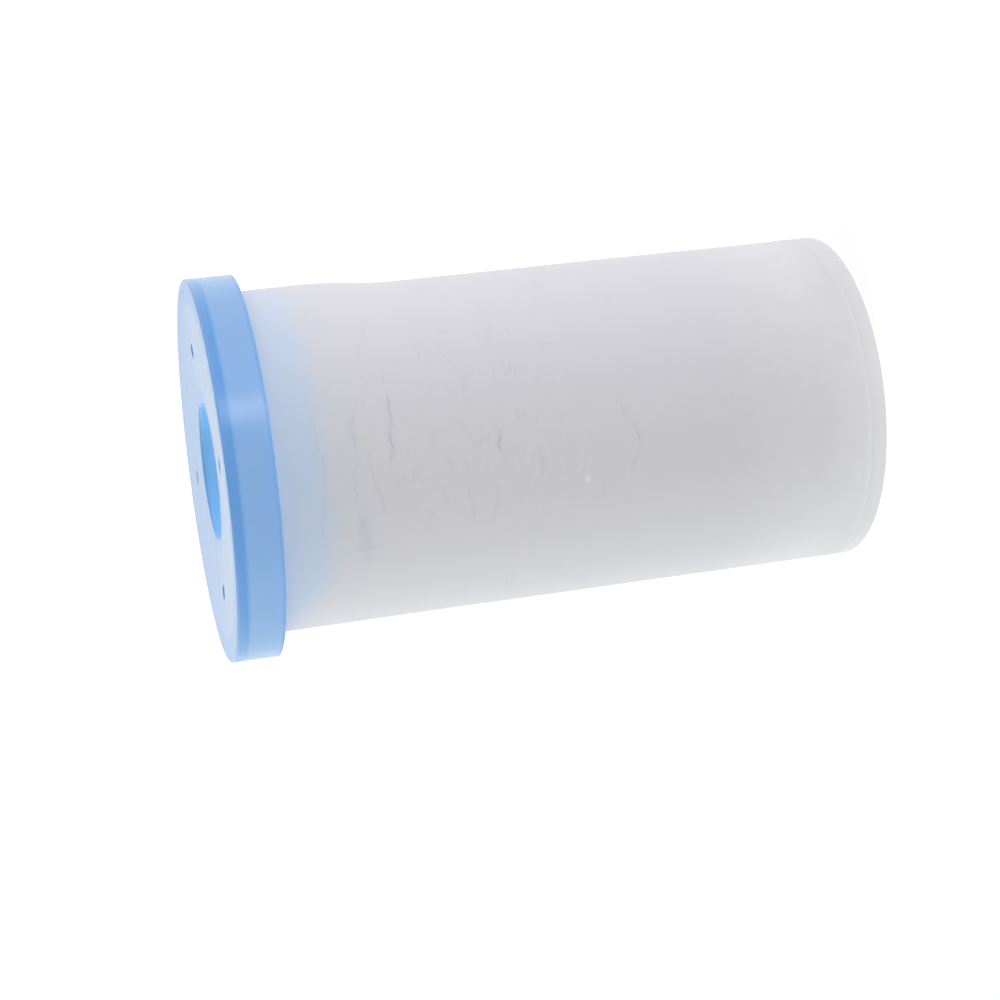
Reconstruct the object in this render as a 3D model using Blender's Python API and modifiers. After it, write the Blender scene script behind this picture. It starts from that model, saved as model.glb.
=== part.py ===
"""A drop-in water filter cartridge, modelled as the separate pieces that it is built from.

Units are metres and +Z is up. The cartridge stands on its closed end. The origin is the centre
of that end's face, and +Z runs along the cartridge's axis towards the outlet.

Water enters all round through the wrap, crosses the felt, the barrier and the carbon block, and
leaves up the bore. Every piece is a solid of its own and stays GAP clear of its neighbours.
"""

import math

import bpy

MM = 0.001

# Driving dimensions
LENGTH = 125.0 * MM
BODY_RADIUS = 32.0 * MM
CAP_RADIUS = 36.5 * MM
CAP_HEIGHT = 8.9 * MM
BORE_RADIUS = 13.0 * MM
GAP = 0.3 * MM

# Outlet end cap: a cup of flexible resin, cast round the ends of the media
BASE_THICKNESS = 2.4 * MM
COLLAR_WALL = 2.7 * MM
FACE_LAND_RADIUS = 34.0 * MM
FACE_DISH = 0.8 * MM
FACE_EDGE = 0.5 * MM
SKIRT_EDGE = 0.3 * MM
BORE_EDGE = 0.6 * MM
MENISCUS_RISE = 0.7 * MM
MENISCUS_REACH = 1.2 * MM
PIN_HOLES = 4
PIN_HOLE_RADIUS = 1.5 * MM
PIN_CIRCLE_RADIUS = 23.0 * MM
PIN_TURN = 2.0
DIMPLE_RADIUS = 0.85 * MM
DIMPLE_DEPTH = 0.25 * MM
DIMPLE_PLACE = (33.9 * MM, 0.9 * MM)

# Closed end disc, with a ring that centres the core
DISC_THICKNESS = 3.0 * MM
DISC_EDGE = 0.2 * MM
LOCATING_RING_WALL = 1.6 * MM
LOCATING_RING_HEIGHT = 6.0 * MM
GATE_RECESS_RADIUS = 3.0 * MM
GATE_RECESS_DEPTH = 0.5 * MM
BOND_THICKNESS = 0.7 * MM

# Layers, from the bore outwards
CORE_WALL = 1.6 * MM
LINER_WALL = 0.4 * MM
BLOCK_WALL = 9.0 * MM
BARRIER_WALL = 0.5 * MM
WRAP_WALL = 0.5 * MM

# Windows of the core tube
WINDOW_COLUMNS = 8
WINDOW_ROWS = 8
WINDOW_WIDTH = 8.6 * MM
WINDOW_HEIGHT = 9.4 * MM
WINDOW_PITCH = 12.4 * MM

# Lap seam of the wrap, on the +Y side. Angles are counted from the wrap's inner end.
SEAM_START = 80.0
LAP = 14.0
BEAD_WIDTH = 3.6
BEAD_CLEARANCE = 0.6
RISE = 6.0
PLY_STEP = WRAP_WALL + 0.4 * MM
BEAD_HEIGHT = 0.55 * MM

# Facets
TURN_STEPS = 64
CORE_STEPS = 32
HOLE_SIDES = 16
SHARP_ANGLE = 35.0
MERGE = 0.01 * MM

# Heights and radii that follow from the dimensions above
MEDIA_TOP = LENGTH - BASE_THICKNESS - GAP
BOND_BOTTOM = DISC_THICKNESS + GAP
MEDIA_BOTTOM = BOND_BOTTOM + BOND_THICKNESS + GAP
SKIRT_END = LENGTH - CAP_HEIGHT
COLLAR_RADIUS = BORE_RADIUS + COLLAR_WALL
CORE_INNER = COLLAR_RADIUS + GAP
LINER_INNER = CORE_INNER + CORE_WALL + GAP
BLOCK_INNER = LINER_INNER + LINER_WALL + GAP
BARRIER_INNER = BLOCK_INNER + BLOCK_WALL + GAP
FELT_INNER = BARRIER_INNER + BARRIER_WALL + GAP
FELT_RADIUS = BODY_RADIUS - WRAP_WALL - GAP
BOND_RADIUS = FELT_RADIUS - PLY_STEP - GAP

COLOURS = {
    "blue_resin": ((0.20, 0.43, 0.80), 0.35),
    "white_disc": ((0.80, 0.80, 0.80), 0.45),
    "hot_melt": ((0.78, 0.74, 0.62), 0.40),
    "white_core": ((0.82, 0.82, 0.80), 0.40),
    "liner_cloth": ((0.80, 0.80, 0.78), 0.90),
    "carbon": ((0.02, 0.02, 0.02), 0.95),
    "barrier_paper": ((0.84, 0.83, 0.80), 0.85),
    "white_felt": ((0.83, 0.83, 0.83), 0.95),
    "white_wrap": ((0.78, 0.78, 0.79), 0.70),
}


def clear_scene():
    for obj in list(bpy.data.objects):
        bpy.data.objects.remove(obj)


def collection(name):
    made = bpy.data.collections.new(name)
    bpy.context.scene.collection.children.link(made)
    return made


def material(name):
    """A Principled material with the colour and roughness that COLOURS gives."""
    colour, roughness = COLOURS[name]
    made = bpy.data.materials.new(name)
    made.use_nodes = True
    shader = made.node_tree.nodes["Principled BSDF"]
    shader.inputs["Base Color"].default_value = (*colour, 1.0)
    shader.inputs["Roughness"].default_value = roughness
    shader.inputs["Metallic"].default_value = 0.0
    return made


def arc(centre, radius, start, end, steps=3):
    """Points (r, z) of an arc about centre, from the angle start to the angle end, in degrees."""
    points = []
    for i in range(steps + 1):
        angle = math.radians(start + (end - start) * i / steps)
        points.append((centre[0] + radius * math.cos(angle), centre[1] + radius * math.sin(angle)))
    return points


def turned(name, profile, cyclic=True, steps=TURN_STEPS):
    """The profile, points (r, z) that run down the outer side, turned about the Z axis."""
    mesh = bpy.data.meshes.new(name)
    edges = [(i, i + 1) for i in range(len(profile) - 1)]
    if cyclic:
        edges.append((len(profile) - 1, 0))
    mesh.from_pydata([(r, 0.0, z) for r, z in profile], edges, [])
    obj = bpy.data.objects.new(name, mesh)
    PARTS.objects.link(obj)
    screw = obj.modifiers.new("turn", "SCREW")
    screw.axis = "Z"
    screw.angle = math.tau
    screw.steps = steps
    screw.render_steps = steps
    screw.use_merge_vertices = True
    screw.merge_threshold = MERGE
    return obj


def sleeve(name, inner, outer, bottom, top, steps=TURN_STEPS):
    """A plain hollow cylinder."""
    profile = [(outer, top), (outer, bottom), (inner, bottom), (inner, top)]
    return turned(name, profile, steps=steps)


def extruded(name, outlines, bottom, top):
    """Closed outlines, lists of points (x, y), filled and raised from bottom to top."""
    curve = bpy.data.curves.new(name, "CURVE")
    curve.dimensions = "2D"
    curve.fill_mode = "BOTH"
    curve.extrude = (top - bottom) / 2
    for outline in outlines:
        spline = curve.splines.new("POLY")
        spline.points.add(len(outline) - 1)
        for point, (x, y) in zip(spline.points, outline):
            point.co = (x, y, 0.0, 1.0)
        spline.use_cyclic_u = True
    obj = bpy.data.objects.new(name, curve)
    obj.location.z = (bottom + top) / 2
    PARTS.objects.link(obj)
    return obj


def cutter(obj, name):
    """Move obj to the cutters, where it is drawn as wire and never rendered."""
    obj.name = name
    for holder in list(obj.users_collection):
        holder.objects.unlink(obj)
    CUTTERS.objects.link(obj)
    obj.hide_render = True
    obj.display_type = "WIRE"
    return obj


def cylinder_cutter(name, x, y, radius, bottom, top):
    bpy.ops.mesh.primitive_cylinder_add(
        vertices=HOLE_SIDES, radius=radius, depth=top - bottom, location=(x, y, (bottom + top) / 2)
    )
    return cutter(bpy.context.object, name)


def cut(obj, tool):
    boolean = obj.modifiers.new(tool.name, "BOOLEAN")
    boolean.operation = "DIFFERENCE"
    boolean.solver = "EXACT"
    boolean.object = tool


def settle(obj, material_name):
    """Swap the object for its evaluated mesh, smooth up to SHARP_ANGLE, with its own material."""
    graph = bpy.context.evaluated_depsgraph_get()
    mesh = bpy.data.meshes.new_from_object(obj.evaluated_get(graph))
    name = obj.name
    place = obj.matrix_world.copy()
    bpy.data.objects.remove(obj)
    made = bpy.data.objects.new(name, mesh)
    made.matrix_world = place
    PARTS.objects.link(made)
    mesh.shade_smooth()
    mesh.set_sharp_from_angle(angle=math.radians(SHARP_ANGLE))
    mesh.materials.clear()
    mesh.materials.append(material(material_name))
    return made


def ramp(value, start, end):
    """0 before start, 1 after end, and a smooth step between them."""
    t = min(max((value - start) / (end - start), 0.0), 1.0)
    return t * t * (3 - 2 * t)


def polar(radius, degrees):
    angle = math.radians(degrees)
    return (radius * math.cos(angle), radius * math.sin(angle))


def under_ply_inset(turn):
    """How far the wrap lies below its nominal radius, turn degrees from its inner end."""
    low_end = LAP + BEAD_CLEARANCE * 2 + BEAD_WIDTH
    return PLY_STEP * (1 - ramp(turn, low_end, low_end + RISE))


def outlet_end_cap():
    """Cast cup: dished face, outer skirt, bore collar, and the holes of the mould's pins."""
    skirt_inner = BODY_RADIUS + GAP
    face_round = arc((CAP_RADIUS - FACE_EDGE, LENGTH - FACE_EDGE), FACE_EDGE, 90, 0)
    skirt_round = arc((CAP_RADIUS - SKIRT_EDGE, SKIRT_END + SKIRT_EDGE), SKIRT_EDGE, 0, -90, 2)
    meniscus = [
        (skirt_inner + MENISCUS_REACH * t, SKIRT_END - MENISCUS_RISE * (1 - t) ** 2)
        for t in (1.0, 0.6, 0.3, 0.0)
    ]
    bore_top = LENGTH - FACE_DISH
    bore_round = arc((BORE_RADIUS + BORE_EDGE, bore_top - BORE_EDGE), BORE_EDGE, 180, 90)
    channel = [
        (skirt_inner, MEDIA_TOP + GAP),
        (COLLAR_RADIUS, MEDIA_TOP + GAP),
        (COLLAR_RADIUS, SKIRT_END),
        (BORE_RADIUS, SKIRT_END),
    ]
    land = [(FACE_LAND_RADIUS, LENGTH)]
    cap = turned("outlet_end_cap", face_round + skirt_round + meniscus + channel + bore_round + land)
    for i in range(PIN_HOLES):
        x, y = polar(PIN_CIRCLE_RADIUS, PIN_TURN + 360 * i / PIN_HOLES)
        bottom = MEDIA_TOP - GAP
        cut(cap, cylinder_cutter(f"pin_hole_{i + 1}", x, y, PIN_HOLE_RADIUS, bottom, LENGTH + GAP))
    x, y = DIMPLE_PLACE
    cut(cap, cylinder_cutter("dimple", x, y, DIMPLE_RADIUS, LENGTH - DIMPLE_DEPTH, LENGTH + GAP))
    return settle(cap, "blue_resin")


def closed_end_disc():
    """Moulded disc, flush with the wrap, with its locating ring and a recess round its gate."""
    ring_outer = COLLAR_RADIUS
    ring_inner = ring_outer - LOCATING_RING_WALL
    ring_top = DISC_THICKNESS + LOCATING_RING_HEIGHT
    profile = [
        (0.0, DISC_THICKNESS),
        (ring_inner, DISC_THICKNESS),
        (ring_inner, ring_top),
        (ring_outer - DISC_EDGE * 2, ring_top),
        (ring_outer, ring_top - DISC_EDGE * 4),
        (ring_outer, DISC_THICKNESS),
    ]
    profile += arc((BODY_RADIUS - DISC_EDGE, DISC_THICKNESS - DISC_EDGE), DISC_EDGE, 90, 0, 2)
    profile += arc((BODY_RADIUS - DISC_EDGE, DISC_EDGE), DISC_EDGE, 0, -90, 2)
    profile += [
        (GATE_RECESS_RADIUS, 0.0),
        (GATE_RECESS_RADIUS, GATE_RECESS_DEPTH),
        (0.0, GATE_RECESS_DEPTH),
    ]
    return settle(turned("closed_end_disc", profile, cyclic=False), "white_disc")


def closed_end_bond():
    """Layer of hot melt that bonds the disc to the media, round the locating ring."""
    ring = sleeve("closed_end_bond", CORE_INNER, BOND_RADIUS, BOND_BOTTOM, MEDIA_BOTTOM - GAP)
    return settle(ring, "hot_melt")


def core_window_cutter():
    """All the core's windows: one block, repeated up a column and round the axis."""
    bpy.ops.mesh.primitive_cube_add(size=1)
    block = cutter(bpy.context.object, "core_windows")
    reach = CORE_WALL * 3
    middle = CORE_INNER + CORE_WALL / 2
    column_height = WINDOW_PITCH * (WINDOW_ROWS - 1)
    lowest = (DISC_THICKNESS + LOCATING_RING_HEIGHT + SKIRT_END - column_height) / 2
    for vertex in block.data.vertices:
        x, y, z = vertex.co
        vertex.co = (middle + x * reach, y * WINDOW_WIDTH, lowest + z * WINDOW_HEIGHT)
    turn = bpy.data.objects.new("core_window_turn", None)
    turn.rotation_euler.z = math.tau / WINDOW_COLUMNS
    CUTTERS.objects.link(turn)
    rows = block.modifiers.new("rows", "ARRAY")
    rows.count = WINDOW_ROWS
    rows.use_relative_offset = False
    rows.use_constant_offset = True
    rows.constant_offset_displace = (0.0, 0.0, WINDOW_PITCH)
    columns = block.modifiers.new("columns", "ARRAY")
    columns.count = WINDOW_COLUMNS
    columns.use_relative_offset = False
    columns.use_object_offset = True
    columns.offset_object = turn
    return block


def core_tube():
    """Moulded tube that carries the media, with windows between its two plain ends."""
    outer = CORE_INNER + CORE_WALL
    tube = sleeve("core_tube", CORE_INNER, outer, MEDIA_BOTTOM, MEDIA_TOP, CORE_STEPS)
    cut(tube, core_window_cutter())
    return settle(tube, "white_core")


def layer(name, inner, wall, material_name, steps=TURN_STEPS):
    """A plain layer of the media, as long as the media."""
    return settle(sleeve(name, inner, inner + wall, MEDIA_BOTTOM, MEDIA_TOP, steps), material_name)


def prefilter_felt():
    """Thick felt, pressed in under the wrap's seam."""
    outer = []
    for i in range(TURN_STEPS * 2):
        degrees = 360 * i / (TURN_STEPS * 2)
        turn = (degrees - SEAM_START + 180) % 360 - 180
        dip = under_ply_inset(turn) * ramp(turn, -RISE, -BEAD_CLEARANCE * 2)
        outer.append(polar(FELT_RADIUS - dip, degrees))
    inner = [polar(FELT_INNER, 360 * i / TURN_STEPS) for i in range(TURN_STEPS)]
    return settle(extruded("prefilter_felt", [outer, inner], MEDIA_BOTTOM, MEDIA_TOP), "white_felt")


def outer_wrap():
    """One sheet rolled once round the felt, its outer end lapped over its inner end."""
    steps = round(TURN_STEPS * 1.5)
    turns = [(360 + LAP) * i / steps for i in range(steps + 1)]
    outside = [polar(BODY_RADIUS - under_ply_inset(t), SEAM_START + t) for t in turns]
    inside = [polar(BODY_RADIUS - WRAP_WALL - under_ply_inset(t), SEAM_START + t) for t in turns]
    outline = outside + inside[::-1]
    return settle(extruded("outer_wrap", [outline], BOND_BOTTOM, MEDIA_TOP), "white_wrap")


def wrap_seam_bead():
    """Bead of hot melt that closes the lap, in the notch beside the sheet's outer end."""
    start = SEAM_START + LAP + BEAD_CLEARANCE
    floor = BODY_RADIUS - PLY_STEP + GAP
    crown = 4
    top = [
        polar(floor + BEAD_HEIGHT * math.sin(math.pi * i / crown) ** 0.5, start + BEAD_WIDTH * i / crown)
        for i in range(1, crown)
    ]
    outline = [polar(floor, start)] + top + [polar(floor, start + BEAD_WIDTH)]
    return settle(extruded("wrap_seam_bead", [outline[::-1]], BOND_BOTTOM, MEDIA_TOP), "hot_melt")


clear_scene()
PARTS = collection("filter_cartridge")
CUTTERS = collection("cutters")

outlet_end_cap()
closed_end_disc()
closed_end_bond()
core_tube()
layer("core_liner", LINER_INNER, LINER_WALL, "liner_cloth", CORE_STEPS)
layer("carbon_block", BLOCK_INNER, BLOCK_WALL, "carbon")
layer("barrier_layer", BARRIER_INNER, BARRIER_WALL, "barrier_paper")
prefilter_felt()
outer_wrap()
wrap_seam_bead()
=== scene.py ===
"""Finished look of the drop-in water filter cartridge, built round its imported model.

Units are metres and the frame is the model's own: the cartridge stands on its closed end at
z = 0, with +Z along its axis to the outlet in the blue end cap.
"""

import math

import bmesh
import bpy
import numpy as np
from mathutils import Matrix, Vector, noise

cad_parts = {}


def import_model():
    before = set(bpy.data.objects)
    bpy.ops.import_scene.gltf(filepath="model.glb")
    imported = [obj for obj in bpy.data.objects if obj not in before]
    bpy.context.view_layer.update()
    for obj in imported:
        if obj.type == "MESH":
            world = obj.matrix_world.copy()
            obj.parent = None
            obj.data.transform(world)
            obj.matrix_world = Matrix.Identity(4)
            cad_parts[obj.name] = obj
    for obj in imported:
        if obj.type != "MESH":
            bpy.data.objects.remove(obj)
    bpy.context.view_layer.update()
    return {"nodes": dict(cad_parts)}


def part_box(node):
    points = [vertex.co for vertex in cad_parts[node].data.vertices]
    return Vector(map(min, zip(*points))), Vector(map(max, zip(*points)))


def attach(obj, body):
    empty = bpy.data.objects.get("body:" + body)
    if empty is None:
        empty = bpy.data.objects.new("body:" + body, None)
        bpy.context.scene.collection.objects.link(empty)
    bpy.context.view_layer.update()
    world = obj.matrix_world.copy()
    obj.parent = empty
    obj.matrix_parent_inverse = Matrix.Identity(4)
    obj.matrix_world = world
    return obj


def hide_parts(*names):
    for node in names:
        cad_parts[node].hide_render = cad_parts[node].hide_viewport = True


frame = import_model()

MM = 0.001

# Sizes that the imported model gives
CAP_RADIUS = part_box("outlet_end_cap")[1].x
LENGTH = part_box("outlet_end_cap")[1].z
BODY_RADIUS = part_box("closed_end_disc")[1].x
RING_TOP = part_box("closed_end_disc")[1].z
CORE_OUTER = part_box("core_tube")[1].x
LINER_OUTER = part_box("core_liner")[1].x
MEDIA_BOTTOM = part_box("core_tube")[0].z
MEDIA_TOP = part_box("core_tube")[1].z
WRAP_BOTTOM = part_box("outer_wrap")[0].z
MODEL_GAP = 0.3 * MM

# The gap left here between pieces that touch on the real object
TOUCH = 0.005 * MM

# End cap
CAP_HEIGHT = 8.9 * MM
BORE_RADIUS = 13.0 * MM
BORE_EDGE = 0.6 * MM
COLLAR_WALL = 2.7 * MM
FACE_LAND_RADIUS = 34.0 * MM
FACE_DISH = 0.8 * MM
FACE_EDGE = 0.45 * MM
SKIRT_EDGE = 0.15 * MM
SKIRT_SUNK = 0.35 * MM
SKIRT_CLIMB = 0.5 * MM
COLLAR_EDGE = 0.4 * MM
PIN_HOLES = 4
PIN_HOLE_RADIUS = 1.5 * MM
PIN_CIRCLE_RADIUS = 23.0 * MM
PIN_TURN = 2.0
PIN_HOLE_LEAD = 0.15 * MM
FILLED_PIN = 1
FILLED_DEPTH = 0.10 * MM
DIMPLE_PLACE = (33.9 * MM, 0.9 * MM)
DIMPLE_RADIUS = 0.85 * MM
DIMPLE_DEPTH = 0.09 * MM
SKIRT_END = LENGTH - CAP_HEIGHT
BASE_BOTTOM = MEDIA_TOP + MODEL_GAP

# Closed end disc
DISC_TOP = WRAP_BOTTOM - MODEL_GAP
DISC_EDGE = 0.2 * MM
DISC_INNER_EDGE = 0.01 * MM
RING_WALL = 1.6 * MM
RING_EDGE = 0.4 * MM
RING_FOOT = 0.3 * MM
GATE_RECESS_RADIUS = 3.0 * MM
GATE_RECESS_DEPTH = 0.5 * MM
GATE_RECESS_EDGE = 0.2 * MM
GATE_NUB_RADIUS = 0.7 * MM

# Core tube and liner
CORE_WALL = 1.6 * MM
LINER_WALL = 0.4 * MM
WINDOW_COLUMNS = 8
WINDOW_ROWS = 8
WINDOW_WIDTH = 8.6 * MM
WINDOW_HEIGHT = 9.4 * MM
WINDOW_PITCH = 12.4 * MM
CORE_LIP = 0.6 * MM

# Wrap and its lap seam, angles in degrees. A turn is the angle from the sheet's inner end.
WRAP_WALL = 0.5 * MM
SEAM_START = 80.0
LAP = 14.0
BEAD_WIDTH = 3.6
BEAD_CLEARANCE = 0.6
RISE = 6.0
PLY_STEP = WRAP_WALL + 0.4 * MM
BEAD_HEIGHT = 0.78 * MM
FRONT_TURN = 270.0 - SEAM_START
WAVE = 0.10 * MM

# A pale fleck in the wrap: how far round from the front, towards +X, and its height
FLECK_PLACE = (-10.0 * MM, 59.1 * MM)

# The wrap stands a little proud under the cap on one side
FLARE = 1.2 * MM
FLARE_TURN = 360.0 - SEAM_START
FLARE_SPREAD = 75.0
FLARE_START = 85 * MM
FLARE_FULL = 103 * MM

# Camera: where it stands, what it looks at, and its roll about the line of sight
CAMERA_PLACE = (0.0, -408.3 * MM, 162.72 * MM)
CAMERA_TARGET = (-12.49 * MM, 0.0, 68.87 * MM)
CAMERA_ROLL = -97.43
CAMERA_LENS = 77.2

# Surroundings: the angle from -Y towards +X where they are darkest, and how bright they are
# there, at the sides and at the back, and overhead as a share of that
DARK_SIDE = -14.0
DARK_LEVEL = 0.02
SIDE_LEVEL = 1.82
BACK_LEVEL = 1.13
TOP_SHARE = 0.65

SEGMENTS = 256
SHARP_ANGLE = 40.0


# Mesh tools


def arc(centre, radius, start, end, steps):
    """Points (r, z) of an arc about centre, from the angle start to the angle end, in degrees."""
    angles = np.radians(np.linspace(start, end, steps + 1))
    return [(centre[0] + radius * math.cos(a), centre[1] + radius * math.sin(a)) for a in angles]


def line(start, end, step):
    """Points from start to end, both included, at most step apart."""
    count = max(1, math.ceil(math.dist(start, end) / step))
    return [tuple(np.array(start) + (np.array(end) - start) * i / count) for i in range(count + 1)]


def add_object(name, mesh):
    obj = bpy.data.objects.new(name, mesh)
    bpy.context.scene.collection.objects.link(obj)
    return obj


def shade(mesh):
    mesh.shade_smooth()
    mesh.set_sharp_from_angle(angle=math.radians(SHARP_ANGLE))


def revolved(name, profile, cyclic=True, segments=SEGMENTS, uneven=None):
    """The profile, points (r, z) that run down the outer side, turned about the Z axis.

    uneven(point) gives how far a point of the surface moves up and out.
    """
    rows = [p for i, p in enumerate(profile) if i == 0 or math.dist(p, profile[i - 1]) > 1e-7]
    bm = bmesh.new()
    grid = []
    for r, z in rows:
        ring = []
        for j in range(1 if r < 1e-7 else segments):
            angle = math.tau * j / segments
            point = Vector((r * math.cos(angle), r * math.sin(angle), z))
            if uneven:
                up, out = uneven(point)
                point += Vector((math.cos(angle) * out, math.sin(angle) * out, up))
            ring.append(bm.verts.new(point))
        grid.append(ring)
    pairs = list(zip(grid, grid[1:]))
    if cyclic:
        pairs.append((grid[-1], grid[0]))
    for upper, lower in pairs:
        for j in range(segments):
            k = (j + 1) % segments
            corners = [upper[j % len(upper)], lower[j % len(lower)]]
            corners += [lower[k % len(lower)], upper[k % len(upper)]]
            bm.faces.new(dict.fromkeys(corners))
    mesh = bpy.data.meshes.new(name)
    bm.to_mesh(mesh)
    bm.free()
    shade(mesh)
    return add_object(name, mesh)


def cut(obj, *tools):
    """Cut the tools out of obj for good, and delete them."""
    for tool in tools:
        boolean = obj.modifiers.new(tool.name, "BOOLEAN")
        boolean.operation = "DIFFERENCE"
        boolean.solver = "EXACT"
        boolean.object = tool
    graph = bpy.context.evaluated_depsgraph_get()
    mesh = bpy.data.meshes.new_from_object(obj.evaluated_get(graph))
    obj.modifiers.clear()
    obj.data = mesh
    shade(mesh)
    for tool in tools:
        bpy.data.objects.remove(tool)


def ramp(value, start, end):
    """0 before start, 1 after end, and a smooth step between them."""
    t = np.clip((value - start) / (end - start), 0.0, 1.0)
    return t * t * (3 - 2 * t)


def finish_piece(obj, material, slot, *nodes):
    obj.data.materials.clear()
    obj.data.materials.append(material)
    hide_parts(*nodes)
    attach(obj, "root")


# Material tools


class Shading:
    """A material's node tree, with short calls for the nodes that the materials share."""

    def __init__(self, name):
        self.material = bpy.data.materials.new(name)
        self.material.use_nodes = True
        self.nodes = self.material.node_tree.nodes
        self.links = self.material.node_tree.links
        self.shader = self.nodes["Principled BSDF"]
        self.place = self.nodes.new("ShaderNodeTexCoord").outputs["Object"]

    def put(self, socket, value):
        """Link value to socket if it is another node's output, or else set it."""
        if isinstance(value, bpy.types.NodeSocket):
            self.links.new(value, socket)
        else:
            socket.default_value = value

    def math(self, operation, *values, clamp=False):
        node = self.nodes.new("ShaderNodeMath")
        node.operation = operation
        node.use_clamp = clamp
        for socket, value in zip(node.inputs, values):
            self.put(socket, value)
        return node.outputs[0]

    def vector(self, operation, *values):
        node = self.nodes.new("ShaderNodeVectorMath")
        node.operation = operation
        for socket, value in zip((s for s in node.inputs if s.enabled), values):
            self.put(socket, value)
        return node.outputs["Value" if operation in ("LENGTH", "DISTANCE") else "Vector"]

    def split(self, vector):
        node = self.nodes.new("ShaderNodeSeparateXYZ")
        self.put(node.inputs[0], vector)
        return node.outputs

    def join(self, x, y, z):
        node = self.nodes.new("ShaderNodeCombineXYZ")
        for socket, value in zip(node.inputs, (x, y, z)):
            self.put(socket, value)
        return node.outputs[0]

    def between(self, value, low, high, to_low=0.0, to_high=1.0):
        """A smooth step of value from low to high, scaled to run from to_low to to_high."""
        node = self.nodes.new("ShaderNodeMapRange")
        node.interpolation_type = "SMOOTHSTEP"
        for socket, given in zip(node.inputs, (value, low, high, to_low, to_high)):
            self.put(socket, given)
        return node.outputs[0]

    def noise(self, vector, scale, detail=2.0, roughness=0.5, distortion=0.0):
        node = self.nodes.new("ShaderNodeTexNoise")
        self.put(node.inputs["Vector"], vector)
        node.inputs["Scale"].default_value = scale
        node.inputs["Detail"].default_value = detail
        node.inputs["Roughness"].default_value = roughness
        node.inputs["Distortion"].default_value = distortion
        return node.outputs["Fac"]

    def mix(self, factor, first, second):
        node = self.nodes.new("ShaderNodeMix")
        node.data_type = "RGBA"
        colours = [s for s in node.inputs if s.type == "RGBA"]
        self.put(node.inputs["Factor"], factor)
        for socket, value in zip(colours, (first, second)):
            self.put(socket, value if isinstance(value, bpy.types.NodeSocket) else (*value, 1.0))
        return next(s for s in node.outputs if s.type == "RGBA")

    def bump(self, height, strength, distance):
        node = self.nodes.new("ShaderNodeBump")
        self.put(node.inputs["Height"], height)
        node.inputs["Strength"].default_value = strength
        node.inputs["Distance"].default_value = distance
        self.links.new(node.outputs[0], self.shader.inputs["Normal"])

    def set(self, **values):
        """Set or link the shader's own sockets, named as on the node with _ for a space."""
        for name, value in values.items():
            self.put(self.shader.inputs[name.replace("_", " ")], value)
        return self


def round_place(s):
    """(radius, angle, height) of the shaded point: mm, degrees from -Y towards +X, and mm.

    The angle jumps by 360 degrees at the wrap's seam, where the sheet really ends.
    """
    x, y, z = s.split(s.place)
    radius = s.math("SQRT", s.math("ADD", s.math("MULTIPLY", x, x), s.math("MULTIPLY", y, y)))
    angle = s.math("MULTIPLY", s.math("ARCTAN2", x, s.math("MULTIPLY", y, -1.0)), math.degrees(1.0))
    sheet_end = SEAM_START + LAP + 90.0
    angle = s.math("WRAP", angle, sheet_end, sheet_end - 360.0)
    return s.math("MULTIPLY", radius, 1 / MM), angle, s.math("MULTIPLY", z, 1 / MM)


# Materials


def pin_place(number):
    """(x, y) of the hole that a stand-off pin of the mould left in the cap's face."""
    angle = math.tau * number / PIN_HOLES + math.radians(PIN_TURN)
    return PIN_CIRCLE_RADIUS * math.cos(angle), PIN_CIRCLE_RADIUS * math.sin(angle)


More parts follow.
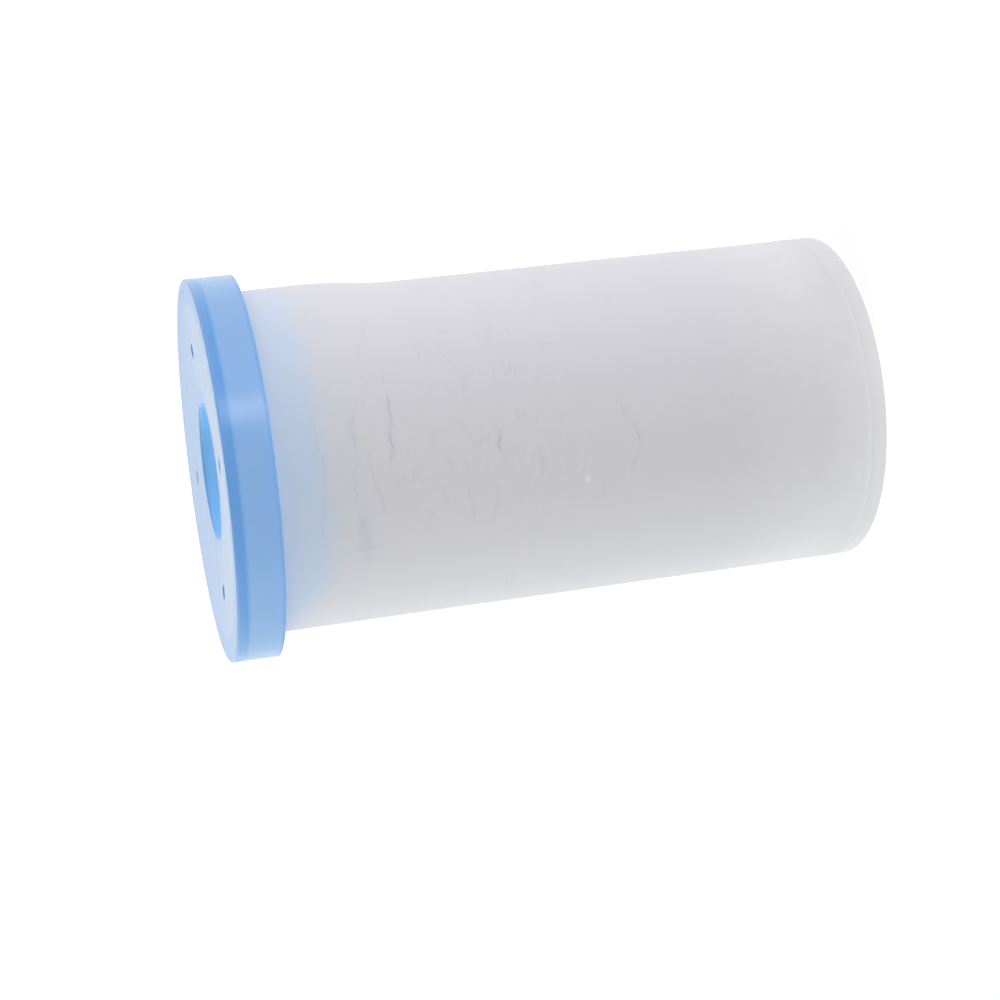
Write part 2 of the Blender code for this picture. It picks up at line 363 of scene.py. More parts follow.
def blue_resin():
    """Cast translucent resin: deep blue where it is solid, paler where white media back it, with
    painted light, shade, highlight and reflection in places.
    """
    s = Shading("blue_resin")
    rim_radius, bore_radius = CAP_RADIUS / MM, BORE_RADIUS / MM
    top, skirt_end = LENGTH / MM, SKIRT_END / MM
    radius, _, height = round_place(s)
    x, y, _ = s.split(s.place)
    cloud = s.noise(s.place, 90.0, 3.0)
    on_side = s.between(radius, rim_radius - 0.9, rim_radius - 0.2)
    # Painted light: the deep band under the face is paler towards -X and +X.
    band_painted_light = s.between(s.math("ABSOLUTE", x), 22 * MM, 36 * MM, 0.12, 0.42)
    below_band = s.between(height, top - 1.5, top - 2.7)
    side = s.math("MULTIPLY", s.math("MAXIMUM", below_band, band_painted_light), on_side)
    outside_bore = s.between(radius, bore_radius + 0.8, bore_radius + 4.0)
    face = s.math("MULTIPLY", s.between(radius, rim_radius - 3.7, rim_radius - 5.5), outside_bore)
    streaks = s.noise(s.vector("MULTIPLY", s.place, (60.0, 240.0, 0.0)), 1.0, 3.0)
    face = s.math("MULTIPLY", face, s.between(streaks, 0.3, 0.7, 0.44, 0.60))
    in_bore = s.between(radius, bore_radius + 0.6, bore_radius + 0.2)
    # Painted highlight along the rounded edge of the face.
    near_rim = s.between(radius, rim_radius - 0.9, rim_radius - 0.3)
    rim_painted_highlight = s.math("MULTIPLY", s.between(height, top - 0.7, top - 0.1), near_rim)
    # Painted shade along the skirt's edge where it meets the wrap.
    lip_painted_shade = s.between(height, skirt_end + 0.9, skirt_end + 0.1, 0.0, 0.55)
    deep = s.mix(cloud, (0.110, 0.360, 0.765), (0.125, 0.380, 0.795))
    light = s.mix(cloud, (0.268, 0.497, 0.830), (0.288, 0.517, 0.860))
    # The face is milky where white media back it, and its -Y half is paler still with painted
    # reflection.
    near_half_painted_reflection = s.between(y, 8 * MM, -12 * MM)
    milky_and_painted_reflection = s.mix(near_half_painted_reflection, (0.270, 0.470, 0.775), (0.400, 0.520, 0.720))
    resin = s.mix(side, deep, light)
    resin = s.mix(in_bore, resin, (0.185, 0.425, 0.755))
    # Painted shade: a dark spot over the shallow filled pin hole.
    from_filled = s.vector("DISTANCE", s.join(x, y, 0.0), (*pin_place(FILLED_PIN), 0.0))
    filled_hole_painted_shade = s.between(from_filled, 1.7 * MM, 0.9 * MM, 0.0, 0.9)
    resin = s.mix(s.math("MAXIMUM", face, s.math("MULTIPLY", rim_painted_highlight, 0.3)), resin, milky_and_painted_reflection)
    resin = s.mix(filled_hole_painted_shade, resin, (0.070, 0.250, 0.560))
    resin = s.mix(s.math("MULTIPLY", lip_painted_shade, on_side), resin, (0.100, 0.250, 0.560))
    # Painted shade: the cap's side is darker towards +X and -X.
    upper = s.between(x, 9 * MM, 33 * MM, 1.0, 0.86)
    lower = s.between(x, -20 * MM, -36 * MM, 1.0, 0.90)
    painted_side_shade = s.math("MULTIPLY", upper, lower)
    resin = s.mix(on_side, resin, s.vector("SCALE", resin, painted_side_shade))
    s.set(
        Base_Color=resin,
        Roughness=0.25,
        IOR=1.5,
        Subsurface_Weight=0.6,
        Subsurface_Radius=(0.7, 0.85, 1.0),
        Subsurface_Scale=0.002,
    )
    s.bump(s.noise(s.place, 120.0, 2.0), 0.03, 0.0003)
    return s.material


def cells(s, vector, feature, scale):
    node = s.nodes.new("ShaderNodeTexVoronoi")
    node.feature = feature
    s.put(node.inputs["Vector"], vector)
    node.inputs["Scale"].default_value = scale
    return node.outputs["Distance"]


def fine_marks(s, place, angle, height):
    """Painted shade of hairline wrinkles that run round the wrap, and specks, in patches."""
    round_front = s.math("MULTIPLY_ADD", angle, 1 / 42, -4 / 42)
    along_front = s.math("MULTIPLY_ADD", height, 1 / 26, -76 / 26)
    front = s.between(s.vector("LENGTH", s.join(round_front, along_front, 0.0)), 1.25, 0.55)
    elsewhere = s.between(s.noise(place, 0.05, 3.0), 0.50, 0.66, 0.0, 0.6)
    patch = s.math("MULTIPLY", s.math("MAXIMUM", front, elsewhere), s.between(height, 112.0, 104.0))
    sway = s.math("MULTIPLY_ADD", s.noise(place, 0.40, 2.0), 3.0, -1.5)
    swayed = s.vector("ADD", place, s.join(sway, sway, 0.0))
    net = cells(s, s.vector("MULTIPLY", swayed, (0.10, 0.36, 0.0)), "DISTANCE_TO_EDGE", 1.0)
    hairline_painted_shade = s.between(net, 0.055, 0.0)
    hairline_painted_shade = s.math("MULTIPLY", hairline_painted_shade, s.between(s.noise(place, 0.20, 3.0, 0.6), 0.47, 0.64))
    speck = s.between(cells(s, place, "F1", 0.6), 0.34, 0.06, 0.0, 0.8)
    speck = s.math("MULTIPLY", speck, s.between(s.noise(place, 0.8, 1.0), 0.50, 0.68))
    return s.math("MULTIPLY", s.math("MAXIMUM", hairline_painted_shade, speck), patch)


def stain_strength(s, place, angle, height):
    """How strongly resin has tinted the wrap under the cap, with an uneven, soft front."""
    front = s.math("ADD", 107.5, s.between(angle, -38.0, -68.0, 0.0, 4.8))
    broad, fine = s.noise(place, 0.10, 2.0), s.noise(place, 0.32, 4.0, 0.65)
    for wander, swing in ((broad, 3.0), (fine, 5.0)):
        front = s.math("SUBTRACT", front, s.math("MULTIPLY_ADD", wander, swing, -swing / 2))
    reach = s.math("SUBTRACT", height, front)
    soaked = s.between(reach, -2.8, 2.6, 0.0, 0.70)
    tinted = s.math("ADD", soaked, s.between(reach, -10.0, 1.0, 0.0, 0.24))
    uneven = s.math("MULTIPLY_ADD", s.noise(place, 0.22, 3.0), 10.0, reach)
    washed_out = s.between(uneven, 6.0, 13.0, 1.0, 0.70)
    right = s.between(angle, 80.0, 35.0, 0.4, 1.0)
    sides = s.math("MULTIPLY", right, s.between(angle, -78.0, -42.0, 0.2, 1.0))
    return s.math("MULTIPLY", tinted, s.math("MULTIPLY", washed_out, sides))


def white_wrap():
    """Smooth non-woven with a blue resin stain under its top end, specks, and painted shade for
    hairlines and creases.
    """
    s = Shading("white_wrap")
    _, angle, height = round_place(s)
    place = s.join(s.math("MULTIPLY", angle, BODY_RADIUS / MM * math.radians(1.0)), height, 0.0)
    colour = s.mix(s.between(height, 8.0, 34.0), (0.745, 0.741, 0.755), (0.684, 0.679, 0.713))
    cloudy = s.between(s.noise(place, 0.25, 4.0), 0.3, 0.7, 0.0, 0.10)
    colour = s.mix(cloudy, colour, (0.60, 0.61, 0.66))
    colour = s.mix(s.between(height, 4.4, 3.1), colour, (0.775, 0.775, 0.785))
    # Painted light: near the base the wrap is lighter at the front and a little darker towards the
    # sides.
    off_front = s.math("ABSOLUTE", s.math("ADD", angle, 12.0))
    painted_light_near_base = s.between(off_front, 5.0, 65.0, 1.10, 0.95)
    colour = s.mix(s.between(height, 13.0, 3.4), colour, s.vector("SCALE", colour, painted_light_near_base))
    # Painted shade of the hairline wrinkles, together with the specks.
    marks_and_painted_shade = s.math("MULTIPLY", fine_marks(s, place, angle, height), 0.15)
    colour = s.mix(marks_and_painted_shade, colour, (0.36, 0.37, 0.42))
    colour = s.mix(stain_strength(s, place, angle, height), colour, (0.555, 0.667, 0.805))
    fleck = s.vector("DISTANCE", place, (FLECK_PLACE[0] / MM, FLECK_PLACE[1] / MM, 0.0))
    colour = s.mix(s.between(fleck, 0.7, 0.3, 0.0, 0.6), colour, (0.86, 0.86, 0.88))
    # Painted shade in the creases, read from the wrap mesh's layer.
    painted_crease_shade = s.nodes.new("ShaderNodeAttribute")
    painted_crease_shade.attribute_name = "painted_crease_shade"
    colour = s.mix(s.math("MULTIPLY", painted_crease_shade.outputs["Fac"], 0.55), colour, (0.30, 0.31, 0.36))
    s.set(Base_Color=colour, Roughness=0.8, Specular_IOR_Level=0.35, Sheen_Weight=0.1)
    s.bump(s.noise(s.vector("MULTIPLY", place, (1.0, 2.2, 1.0)), 3.0, 4.0, 0.6), 0.15, 0.0001)
    return s.material


def white_plastic(name, low, high, roughness, ends=(1.0, 1.0)):
    """Moulded polyolefin: faintly cloudy, with a fine matt grain.

    ends gives how much of the colour's brightness is left at the far -X and +X ends, as painted
    shade.
    """
    s = Shading(name)
    x, _, _ = s.split(s.place)
    # Painted shade towards -X and +X.
    lower = s.between(x, -8 * MM, -32 * MM, 1.0, ends[0])
    upper = s.between(x, 0.0, 32 * MM, 1.0, ends[1])
    colour = s.mix(s.noise(s.place, 60.0, 3.0), low, high)
    grain = s.noise(s.place, 900.0, 2.0)
    s.set(
        Base_Color=s.vector("SCALE", colour, s.math("MULTIPLY", lower, upper)),
        Specular_IOR_Level=0.3,
        Roughness=s.between(grain, 0.3, 0.7, roughness - 0.06, roughness + 0.06),
        Subsurface_Weight=0.15,
        Subsurface_Radius=(1.0, 1.0, 1.0),
        Subsurface_Scale=0.001,
    )
    s.bump(s.noise(s.place, 2500.0, 2.0), 0.06, 0.0001)
    return s.material


def cloth(name, low, high, grain):
    """Felted fibres: mottled colour, no gloss, and a fibrous bump."""
    s = Shading(name)
    fibres = s.noise(s.place, grain, 5.0, 0.65, 1.2)
    s.set(Base_Color=s.mix(fibres, low, high), Roughness=0.95)
    s.set(Specular_IOR_Level=0.2, Sheen_Weight=0.2)
    s.bump(fibres, 0.6, 0.0002)
    return s.material


def carbon():
    """Pressed granular carbon: near black, with a few grey glints."""
    s = Shading("carbon")
    grains = cells(s, s.place, "F1", 2600.0)
    s.set(
        Base_Color=s.mix(s.between(grains, 0.1, 0.8), (0.045, 0.045, 0.048), (0.012, 0.012, 0.013)),
        Roughness=s.between(grains, 0.0, 0.7, 0.55, 0.95),
    )
    s.bump(grains, 0.8, 0.0003)
    return s.material


def hot_melt():
    """Waxy, yellowish glue."""
    s = Shading("hot_melt")
    s.set(
        Base_Color=s.mix(s.noise(s.place, 200.0, 3.0), (0.62, 0.57, 0.44), (0.72, 0.68, 0.56)),
        Roughness=0.35,
        Subsurface_Weight=0.3,
        Subsurface_Radius=(1.0, 0.8, 0.5),
        Subsurface_Scale=0.001,
    )
    s.bump(s.noise(s.place, 700.0, 2.0), 0.15, 0.0002)
    return s.material


# Pieces


def dish(radius):
    """How far the cap's face lies below its outer land."""
    t = max(0.0, (FACE_LAND_RADIUS - radius) / (FACE_LAND_RADIUS - BORE_RADIUS - BORE_EDGE))
    return FACE_DISH * 1.1 * t * t / (t + 0.1)


def flare(turn, z):
    """How far the wrap stands proud at a turn and height, and the skirt's inner face with it."""
    away = abs((turn - FLARE_TURN + 180) % 360 - 180)
    around = 1 - ramp(away, 0.0, FLARE_SPREAD)
    under_cap = 1 - ramp(z, SKIRT_END + 1 * MM, MEDIA_TOP)
    return FLARE * around * ramp(z, FLARE_START, FLARE_FULL) * under_cap


def cap_uneven(point):
    """The flare of the skirt's inner face, and faint waves of the cast surface."""
    radius = math.hypot(point.x, point.y)
    face_inner, face_outer = BORE_RADIUS + BORE_EDGE, CAP_RADIUS - FACE_EDGE
    wave = (noise.noise(point * 60.0) - 1) * 0.05 * MM
    if BODY_RADIUS < radius and point.z < BASE_BOTTOM and radius < CAP_RADIUS - 0.01 * MM:
        turn = math.degrees(math.atan2(point.y, point.x)) - SEAM_START
        depth = (CAP_RADIUS - radius) / (CAP_RADIUS - BODY_RADIUS)
        return 0.0, flare(turn, point.z) * depth
    if point.z > LENGTH - 1.2 * FACE_DISH and face_inner < radius < face_outer:
        inside = min(radius - face_inner, face_outer - radius)
        return wave * ramp(inside, 0.0, 2 * MM), 0.0
    if radius > CAP_RADIUS - 0.01 * MM:
        inside = min(LENGTH - FACE_EDGE - point.z, point.z - SKIRT_END - SKIRT_EDGE)
        return 0.0, wave * ramp(inside, 0.0, 1.5 * MM)
    return 0.0, 0.0


def pin_hole_tool(name, x, y, radius, depth, lead):
    """A cutter for a round hole in the face, with a lead-in at its mouth."""
    mouth = LENGTH - dish(math.hypot(x, y))
    bottom = mouth - max(depth, 1.01 * lead)
    profile = [(0.0, LENGTH + 1 * MM), (radius + 1 * MM, LENGTH + 1 * MM)]
    profile += [(radius + 1.5 * lead, mouth + lead)]
    profile += arc((radius + lead, mouth - lead), lead, 90, 180, 4)
    profile += [(radius, bottom), (0.0, bottom)]
    tool = revolved(name, profile, cyclic=False, segments=32)
    tool.location = (x, y, 0.0)
    return tool


def outlet_end_cap():
    skirt_inner = BODY_RADIUS + TOUCH
    collar_outer = BORE_RADIUS + COLLAR_WALL
    bore_top = LENGTH - FACE_DISH
    side_top, side_bottom = LENGTH - FACE_EDGE, SKIRT_END + SKIRT_EDGE
    profile = arc((CAP_RADIUS - FACE_EDGE, side_top), FACE_EDGE, 90, 0, 8)
    profile += line((CAP_RADIUS, side_top), (CAP_RADIUS, side_bottom), 0.8 * MM)
    profile += arc((CAP_RADIUS - SKIRT_EDGE, side_bottom), SKIRT_EDGE, 0, -90, 4)
    for t in np.linspace(0.1, 1.0, 14):
        r = CAP_RADIUS - SKIRT_EDGE + (skirt_inner - CAP_RADIUS + SKIRT_EDGE) * t
        from_rim, from_wrap = CAP_RADIUS - r, r - skirt_inner
        sunk = SKIRT_SUNK * (1 - math.exp(-from_rim / (0.5 * MM)))
        climb = SKIRT_CLIMB * math.exp(-from_wrap / (0.45 * MM))
        profile.append((r, SKIRT_END + sunk - climb))
    profile += [(skirt_inner, BASE_BOTTOM), (collar_outer, BASE_BOTTOM), (collar_outer, SKIRT_END)]
    collar_bottom, bore_edge_bottom = SKIRT_END + COLLAR_EDGE, bore_top - BORE_EDGE
    profile += arc((BORE_RADIUS + COLLAR_EDGE, collar_bottom), COLLAR_EDGE, 270, 180, 5)
    profile += line((BORE_RADIUS, collar_bottom), (BORE_RADIUS, bore_edge_bottom), 1 * MM)
    profile += arc((BORE_RADIUS + BORE_EDGE, bore_edge_bottom), BORE_EDGE, 180, 90, 10)
    first, last = BORE_RADIUS + BORE_EDGE + 0.5 * MM, CAP_RADIUS - FACE_EDGE - 0.3 * MM
    profile += [(r, LENGTH - dish(r)) for r in np.linspace(first, last, 28)]
    cap = revolved("end_cap", profile, uneven=cap_uneven)
    tools = []
    for i in range(PIN_HOLES):
        x, y = pin_place(i)
        depth = FILLED_DEPTH if i == FILLED_PIN else 4 * MM
        lead = min(PIN_HOLE_LEAD, depth)
        tools.append(pin_hole_tool(f"pin_hole_{i}", x, y, PIN_HOLE_RADIUS, depth, lead))
    tools.append(pin_hole_tool("dimple", *DIMPLE_PLACE, DIMPLE_RADIUS, DIMPLE_DEPTH, DIMPLE_DEPTH))
    cut(cap, *tools)
    finish_piece(cap, blue_resin(), "blue_resin", "outlet_end_cap")


def closed_end_disc():
    ring_outer = CORE_OUTER - CORE_WALL - MODEL_GAP
    ring_inner = ring_outer - RING_WALL
    recess_edge = GATE_RECESS_RADIUS + GATE_RECESS_EDGE
    inner_edge = (BODY_RADIUS - DISC_INNER_EDGE, DISC_TOP - DISC_INNER_EDGE)
    profile = line((0.0, DISC_TOP), (ring_inner - RING_FOOT, DISC_TOP), 3 * MM)
    profile += arc((ring_inner - RING_FOOT, DISC_TOP + RING_FOOT), RING_FOOT, 270, 360, 5)
    profile += arc((ring_inner + RING_EDGE, RING_TOP - RING_EDGE), RING_EDGE, 180, 90, 5)
    profile += arc((ring_outer - RING_EDGE, RING_TOP - RING_EDGE), RING_EDGE, 90, 0, 5)
    profile += [(ring_outer, DISC_TOP)]
    profile += line((ring_outer + 1 * MM, DISC_TOP), (BODY_RADIUS - DISC_EDGE, DISC_TOP), 4 * MM)
    profile += arc(inner_edge, DISC_INNER_EDGE, 90, 0, 2)
    profile += arc((BODY_RADIUS - DISC_EDGE, DISC_EDGE), DISC_EDGE, 0, -90, 6)
    profile += line((BODY_RADIUS - 1 * MM, 0.0), (recess_edge, 0.0), 2 * MM)
    profile += arc((recess_edge, GATE_RECESS_EDGE), GATE_RECESS_EDGE, 270, 180, 4)
    profile += [(GATE_RECESS_RADIUS, GATE_RECESS_DEPTH), (GATE_NUB_RADIUS, GATE_RECESS_DEPTH)]
    profile += [(GATE_NUB_RADIUS * 0.85, 0.25 * MM), (0.0, 0.2 * MM)]
    disc = revolved("end_disc", profile, cyclic=False)
    low, high = (0.85, 0.85, 0.87), (0.88, 0.88, 0.90)
    # The disc's -X and +X ends are darkened with painted shade.
    plastic = white_plastic("white_disc", low, high, 0.75, (0.88, 0.82))
    finish_piece(disc, plastic, "white_disc", "closed_end_disc")


def core_tube():
    """The perforated tube: an open grid without its window faces, thickened and smoothed."""
    middle = CORE_OUTER - CORE_WALL / 2
    half = math.degrees(math.asin(WINDOW_WIDTH / 2 / middle))
    pitch = 360.0 / WINDOW_COLUMNS
    across = [-half - 1.6, -half, -half * 0.45, half * 0.45, half, half + 1.6]
    angles = [math.radians(pitch * c + a) for c in range(WINDOW_COLUMNS) for a in across]
    column_height = WINDOW_PITCH * (WINDOW_ROWS - 1)
    lowest = (RING_TOP + SKIRT_END - column_height) / 2
    half_height = WINDOW_HEIGHT / 2
    heights = [MEDIA_BOTTOM, MEDIA_BOTTOM + CORE_LIP, RING_TOP]
    for row in range(WINDOW_ROWS):
        centre = lowest + WINDOW_PITCH * row
        heights += [centre + half_height * u for u in (-1.1, -1.0, -0.4, 0.4, 1.0, 1.1)]
    heights += [SKIRT_END, MEDIA_TOP - CORE_LIP, MEDIA_TOP]
    bm = bmesh.new()
    grid = [
        [bm.verts.new((middle * math.cos(a), middle * math.sin(a), z)) for a in angles]
        for z in heights
    ]
    for i in range(len(heights) - 1):
        z = (heights[i] + heights[i + 1]) / 2
        row_offset = (z - lowest + WINDOW_PITCH / 2) % WINDOW_PITCH - WINDOW_PITCH / 2
        in_rows = lowest - half_height < z < lowest + column_height + half_height
        for j in range(len(angles)):
            k = (j + 1) % len(angles)
            in_column = j % len(across) in (1, 2, 3)
            if in_rows and in_column and abs(row_offset) < half_height:
                continue
            bm.faces.new([grid[i][j], grid[i][k], grid[i + 1][k], grid[i + 1][j]])
    mesh = bpy.data.meshes.new("core")
    bm.to_mesh(mesh)
    bm.free()
    core = add_object("core", mesh)
    wall = core.modifiers.new("wall", "SOLIDIFY")
    wall.thickness = CORE_WALL
    wall.offset = 0.0
    wall.edge_crease_rim = 0.6
    soft = core.modifiers.new("soft", "SUBSURF")
    soft.levels = 2
    soft.render_levels = 2
    mesh.shade_smooth()
    plastic = white_plastic("white_core", (0.82, 0.82, 0.81), (0.86, 0.86, 0.85), 0.42)
    finish_piece(core, plastic, "white_core", "core_tube")


def core_liner():
    inner = LINER_OUTER - LINER_WALL
    profile = line((LINER_OUTER, MEDIA_TOP), (LINER_OUTER, MEDIA_BOTTOM), 4 * MM)
    profile += line((inner, MEDIA_BOTTOM), (inner, MEDIA_TOP), 4 * MM)
    liner = revolved("liner", profile, segments=128)
    fibre = cloth("liner_cloth", (0.72, 0.72, 0.70), (0.84, 0.84, 0.82), 1500.0)
    finish_piece(liner, fibre, "liner_cloth", "core_liner")


def under_ply_inset(turn):
    """How far the wrap lies below its nominal radius, turn degrees from its inner end."""
    low_end = LAP + BEAD_CLEARANCE * 2 + BEAD_WIDTH
    return PLY_STEP * (1 - ramp(turn, low_end, low_end + RISE))


# The wrap's creases and marks that stand out: (darkness of the painted shade along them, depth in
# mm, half width in mm, points), each point being (height in mm, angle in degrees from the front
# towards +X)
CREASES = (
    (0.42, 0.05, 0.26, ((99.7, 17), (101.5, 8), (101.3, -1))),
    (0.30, 0.05, 0.28, ((101.3, -1), (102.0, -8), (102.2, -17), (101.6, -22))),
    (0.25, 0.04, 0.22, ((100.0, 4), (99.1, -3), (98.5, -11), (99.4, -16))),
    (0.90, 0.09, 0.20, ((94.0, 18), (94.3, 13), (94.1, 8))),
    (0.85, 0.09, 0.22, ((93.7, 9), (94.8, 5), (94.5, 0), (95.4, -5))),
    (0.25, 0.04, 0.20, ((93.7, 30), (94.8, 20))),
    (0.25, 0.04, 0.20, ((95.1, 50), (96.1, 39), (97.6, 35), (98.5, 26))),
    (0.25, 0.03, 0.20, ((72.3, 42), (73.2, 34), (75.8, 28))),
    (0.30, 0.04, 0.20, ((79.0, 24), (80.4, 15), (80.0, 10))),
    (0.30, 0.04, 0.20, ((82.3, 7), (81.0, 3), (79.6, 0))),
    (1.00, 0.09, 0.20, ((74.6, 2), (75.2, -3), (74.7, -6))),
    (0.45, 0.05, 0.18, ((74.6, -6), (74.2, -11))),
    (0.25, 0.04, 0.20, ((71.9, 31), (72.0, 23))),
    (0.45, 0.05, 0.22, ((84.8, -5), (83.9, -11))),
    (0.30, 0.04, 0.20, ((81.7, -15), (80.3, -28))),
    (0.45, 0.05, 0.20, ((95.3, -14), (93.4, -10))),
    (0.35, 0.04, 0.24, ((98.6, -9), (97.4, -15), (97.0, -21))),
    (0.45, 0.02, 0.80, ((101.1, -20), (101.0, -23), (100.9, -26))),
    (0.36, 0.02, 1.50, ((101.0, -20), (100.7, -29), (100.4, -39))),
    (0.26, 0.04, 0.22, ((108.4, 20), (108.1, 13), (108.1, 5), (107.2, 0), (107.7, -11))),
    (0.20, 0.03, 0.24, ((107.7, -11), (108.3, -19), (108.8, -31))),
    (0.30, 0.05, 0.22, ((51.9, 9), (51.1, 1), (50.2, -1))),
    (0.65, 0.08, 0.20, ((50.2, -1), (49.0, -4), (48.6, -8), (47.8, -10))),
    (0.40, 0.05, 0.22, ((48.7, -8), (50.0, -14), (51.0, -19))),
    (0.20, 0.04, 0.20, ((51.3, -24), (51.5, -29))),
    (0.80, 0.03, 0.30, ((22.7, 34.6), (22.4, 33.7))),
)


def crease_fields(turns, heights):
    """(depth in metres, painted shade from 0 to 1) of the creases over the grid of turns and
    heights.
    """
    along = np.radians(turns)[:, None] * BODY_RADIUS / MM + 0 * heights[None, :]
    up = heights[None, :] / MM + 0 * turns[:, None]
    wander = np.array([[noise.noise((a * 0.7, h * 0.3, 3.0)) for h in up[0]] for a in along[:, 0]])
    depth = np.zeros_like(up)
    dark = np.zeros_like(up)
    for number, (darkness, deep, width, points) in enumerate(CREASES):
        path = [(math.radians(FRONT_TURN + a) * BODY_RADIUS / MM, h) for h, a in points]
        nearest = np.full(up.shape, 1e9)
        place = np.zeros_like(up)
        done = 0.0
        for p, q in zip(path, path[1:]):
            span = math.dist(p, q)
            d = (np.array(q) - p) / span
            rel_a, rel_h = along - p[0], up + 0.35 * wander - p[1]
            t = np.clip(rel_a * d[0] + rel_h * d[1], 0, span)
            away = np.hypot(rel_a - t * d[0], rel_h - t * d[1])
            place = np.where(away < nearest, done + t, place)
            nearest = np.minimum(nearest, away)
            done += span
        taper = np.sin(np.pi * np.clip(place / done, 0.02, 0.98)) ** 0.5
        steps = np.linspace(0.0, done, 60)
        patches = [0.75 + 0.9 * noise.noise((s * 0.8, 7.0 * number, 0.0)) for s in steps]
        taper = taper * np.interp(place, steps, np.clip(patches, 0.15, 1.0))
        groove = np.exp(-((nearest / width) ** 2)) * taper
        halo = np.exp(-((nearest / (3.5 * width)) ** 2)) * taper
        depth += deep * MM * (groove - 0.25 * halo)
        dark = np.maximum(dark, darkness * np.maximum(groove, 0.22 * halo))
    return depth, dark


def outer_wrap():
    """One sheet rolled round the felt: a fine outer face, a plain inner face and closed edges."""
    bottom, top = DISC_TOP + TOUCH, MEDIA_TOP
    turns = np.concatenate([
        np.linspace(0.0, FRONT_TURN - 75, 50, endpoint=False),
        np.linspace(FRONT_TURN - 75, FRONT_TURN + 75, 120, endpoint=False),
        np.linspace(FRONT_TURN + 75, 360.0 + LAP, 50),
    ])
    heights = np.concatenate([
        np.linspace(bottom, 45 * MM, 50, endpoint=False),
        np.linspace(45 * MM, 111 * MM, 300, endpoint=False),
        np.linspace(111 * MM, top, 16),
    ])
    depth, dark = crease_fields(turns, heights)
    bm = bmesh.new()
    # This layer holds the painted shade of the creases, for the wrap's material.
    layer = bm.verts.layers.float.new("painted_crease_shade")

    def vertex(turn, radius, z, value=0.0):
        angle = math.radians(SEAM_START + turn)
        made = bm.verts.new((radius * math.cos(angle), radius * math.sin(angle), z))
        made[layer] = value
        return made

    outer = []
    inner = []
    for i, turn in enumerate(turns):
        nominal = BODY_RADIUS - under_ply_inset(turn)
        column = []
        for j, z in enumerate(heights):
            ends = ramp(z, bottom, bottom + 8 * MM) * ramp(SKIRT_END - 1 * MM - z, 0.0, 8 * MM)
            around = math.radians(turn)
            wave = noise.noise((math.cos(around) * 2.2, math.sin(around) * 2.2, z * 28)) * WAVE
            radius = nominal + flare(turn, z) + ends * (wave - depth[i, j])
            column.append(vertex(turn, radius, z, dark[i, j]))
        outer.append(column)
        inner.append([vertex(turn, nominal - WRAP_WALL, z) for z in (bottom, top)])
    for i in range(len(turns) - 1):
        for j in range(len(heights) - 1):
            bm.faces.new([outer[i][j], outer[i + 1][j], outer[i + 1][j + 1], outer[i][j + 1]])
        bm.faces.new([inner[i][0], inner[i][1], inner[i + 1][1], inner[i + 1][0]])
        bm.faces.new([outer[i][0], inner[i][0], inner[i + 1][0], outer[i + 1][0]])
        bm.faces.new([outer[i][-1], outer[i + 1][-1], inner[i + 1][1], inner[i][1]])
    bm.faces.new([*outer[0], inner[0][1], inner[0][0]])
    bm.faces.new([*reversed(outer[-1]), inner[-1][0], inner[-1][1]])
    mesh = bpy.data.meshes.new("wrap")
    bm.to_mesh(mesh)
    bm.free()
    shade(mesh)
    wrap = add_object("wrap", mesh)
    finish_piece(wrap, white_wrap(), "white_wrap", "outer_wrap")


def wrap_seam_bead():
    """A slightly uneven bead of glue in the notch beside the sheet's outer end."""
    start = SEAM_START + LAP + BEAD_CLEARANCE * 0.3
    floor = BODY_RADIUS - PLY_STEP + 0.05 * MM
    heights = np.linspace(DISC_TOP + 0.3 * MM, MEDIA_TOP, 160)
    across = 10
    bm = bmesh.new()
    rows = []
    for z in heights:
        lump = noise.noise((0.0, 5.0, z * 260)) * 0.5 + noise.noise((4.0, 0.0, z * 900)) * 0.2
        width = (BEAD_WIDTH + 0.4) * (1 + 0.18 * lump)
        height = BEAD_HEIGHT * (1 + 0.12 * lump)
        row = []
        for i in range(across + 1):
            angle = math.radians(start + width * i / across)
            radius = floor + height * math.sin(math.pi * i / across) ** 0.55
            row.append(bm.verts.new((radius * math.cos(angle), radius * math.sin(angle), z)))
        rows.append(row)
    for lower, upper in zip(rows, rows[1:]):
        for i in range(across):
            bm.faces.new([lower[i], lower[i + 1], upper[i + 1], upper[i]])
        bm.faces.new([lower[-1], lower[0], upper[0], upper[-1]])
    bm.faces.new(rows[-1])
    bm.faces.new(rows[0][::-1])
    mesh = bpy.data.meshes.new("seam_bead")
    bm.to_mesh(mesh)
    bm.free()
    shade(mesh)
    bead = add_object("seam_bead", mesh)
    finish_piece(bead, hot_melt(), "hot_melt", "wrap_seam_bead")


def dress_model_nodes():
    """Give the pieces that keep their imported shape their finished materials."""
    finishes = {
        "closed_end_bond": hot_melt(),
        "carbon_block": carbon(),
        "barrier_layer": cloth("barrier_paper", (0.76, 0.75, 0.71), (0.82, 0.81, 0.77), 900.0),
        "prefilter_felt": cloth("white_felt", (0.72, 0.72, 0.72), (0.82, 0.82, 0.82), 700.0),
    }
    for name, material in finishes.items():
        mesh = frame["nodes"][name].data
        mesh.materials.clear()
        mesh.materials.append(material)


# Setting


def floor():
    s = Shading("pale_floor")
    tone = s.mix(s.noise(s.place, 3.0, 2.0), (0.59, 0.59, 0.59), (0.61, 0.61, 0.61))
    s.set(Base_Color=tone, Roughness=0.9)
    s.set(Emission_Color=(1.0, 1.0, 1.0, 1.0), Emission_Strength=0.57)
    bpy.ops.mesh.primitive_circle_add(vertices=96, radius=6.0, fill_type="NGON")
    ground = bpy.context.object
    ground.location.z = -0.3 * MM
    ground.name = "floor"
    ground.data.materials.append(s.material)


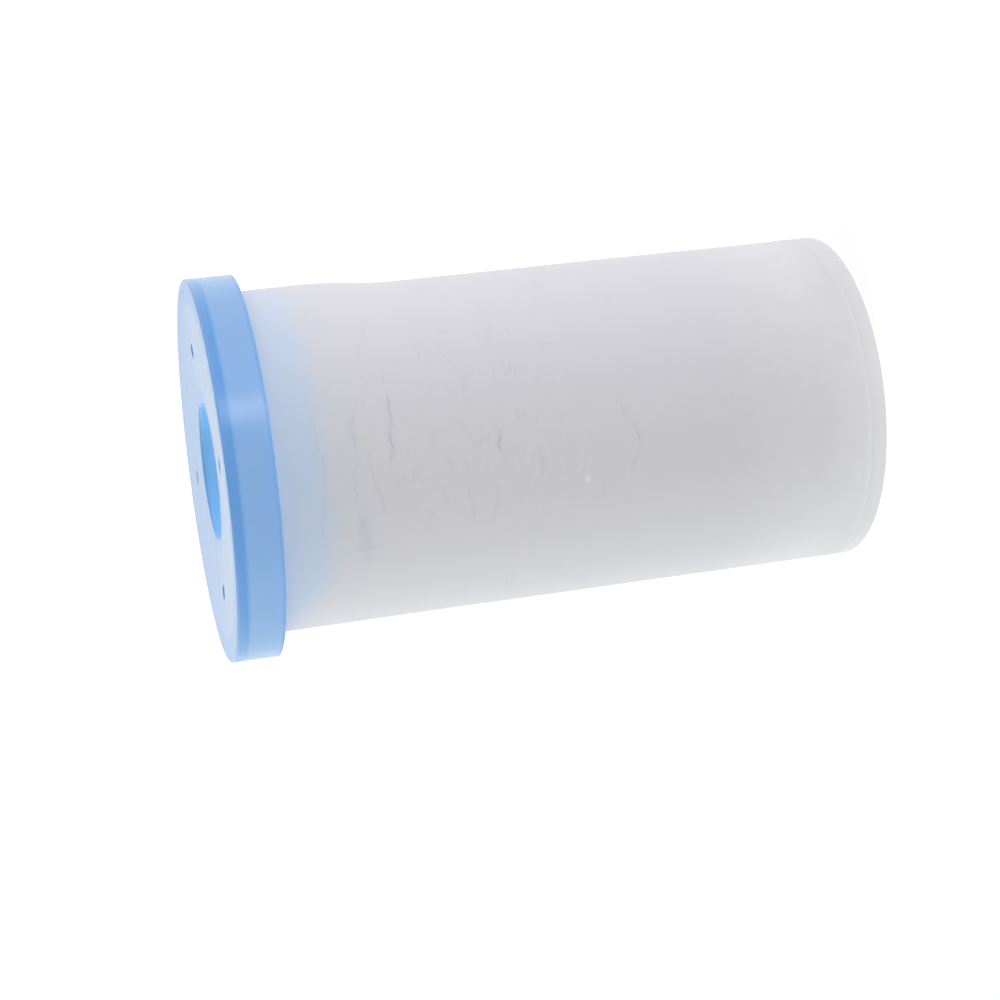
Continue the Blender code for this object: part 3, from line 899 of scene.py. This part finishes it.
def world():
    """White surroundings: bright at the sides, fair behind, and dark where the camera stands."""
    made = bpy.data.worlds.new("studio")
    bpy.context.scene.world = made
    made.use_nodes = True
    nodes, links = made.node_tree.nodes, made.node_tree.links

    def fade(value, low, high, to_low, to_high):
        node = nodes.new("ShaderNodeMapRange")
        node.interpolation_type = "SMOOTHSTEP"
        for socket, number in zip(node.inputs[1:5], (low, high, to_low, to_high)):
            socket.default_value = number
        links.new(value, node.inputs[0])
        return node.outputs[0]

    def vector(operation, first, second=None):
        node = nodes.new("ShaderNodeVectorMath")
        node.operation = operation
        links.new(first, node.inputs[0])
        if second:
            node.inputs[1].default_value = second
        return node.outputs["Value" if operation == "DOT_PRODUCT" else "Vector"]

    def maths(operation, first, second):
        node = nodes.new("ShaderNodeMath")
        node.operation = operation
        links.new(first, node.inputs[0])
        links.new(second, node.inputs[1])
        return node.outputs[0]

    place = nodes.new("ShaderNodeTexCoord").outputs["Generated"]
    level = vector("NORMALIZE", vector("MULTIPLY", place, (1.0, 1.0, 0.0)))
    dark = math.radians(DARK_SIDE)
    towards = vector("DOT_PRODUCT", level, (math.sin(dark), -math.cos(dark), 0.0))
    around = maths("SUBTRACT", fade(towards, 0.97, 0.31, DARK_LEVEL, SIDE_LEVEL),
                   fade(towards, 0.1, -0.6, 0.0, SIDE_LEVEL - BACK_LEVEL))
    overhead = vector("DOT_PRODUCT", place, (0.0, 0.0, 1.0))
    total = maths("MULTIPLY", around, fade(overhead, 0.3, 0.9, 1.0, TOP_SHARE))
    tint = nodes.new("ShaderNodeMix")
    tint.data_type = "RGBA"
    first, second = [socket for socket in tint.inputs if socket.type == "RGBA"]
    first.default_value = (1.18, 1.21, 1.18, 1.0)
    second.default_value = (0.93, 0.91, 0.94, 1.0)
    to_right = vector("DOT_PRODUCT", level, (1.0, 0.0, 0.0))
    links.new(fade(to_right, -0.8, 0.8, 0.0, 1.0), tint.inputs["Factor"])
    tinted = next(socket for socket in tint.outputs if socket.type == "RGBA")
    background = nodes["Background"]
    links.new(tinted, background.inputs["Color"])
    links.new(total, background.inputs["Strength"])


def disk_light(name, size, power, place, target, colour=(1.0, 1.0, 1.0)):
    data = bpy.data.lights.new(name, "AREA")
    data.color = colour
    data.shape = "DISK"
    data.size = size
    data.energy = power
    made = bpy.data.objects.new(name, data)
    bpy.context.scene.collection.objects.link(made)
    made.location = place
    made.rotation_euler = (Vector(target) - Vector(place)).to_track_quat("-Z", "Y").to_euler()
    made.visible_camera = False


def lights():
    """A faint streak of gloss on the cap's side, and light that the cap soaks up and passes on."""
    disk_light("gloss", 0.09, 0.095, (0.216, -0.346, 0.078), (0.0, 0.0, 0.12))
    size, place = 1.3 * BORE_RADIUS, (0.0, 0.0, SKIRT_END - 4 * MM)
    top, bottom = (0.0, 0.0, LENGTH), (0.0, 0.0, 0.0)
    disk_light("collar_glow", size, 0.004, place, top, (1.0, 0.95, 0.80))
    disk_light("core_glow", size, 0.0012, place, bottom, (0.90, 0.96, 1.0))


def camera():
    data = bpy.data.cameras.new("camera")
    data.lens = CAMERA_LENS
    data.sensor_width = 36.0
    data.clip_start = 0.01
    data.clip_end = 50.0
    made = bpy.data.objects.new("camera", data)
    bpy.context.scene.collection.objects.link(made)
    sight = Vector(CAMERA_TARGET) - Vector(CAMERA_PLACE)
    roll = Matrix.Rotation(math.radians(CAMERA_ROLL), 3, "Z")
    aim = sight.to_track_quat("-Z", "Y").to_matrix() @ roll
    made.matrix_world = Matrix.Translation(CAMERA_PLACE) @ aim.to_4x4()
    bpy.context.scene.camera = made


camera()
outlet_end_cap()
closed_end_disc()
core_tube()
core_liner()
outer_wrap()
wrap_seam_bead()
dress_model_nodes()
floor()
world()
lights()
bpy.context.scene.view_settings.view_transform = "Standard"
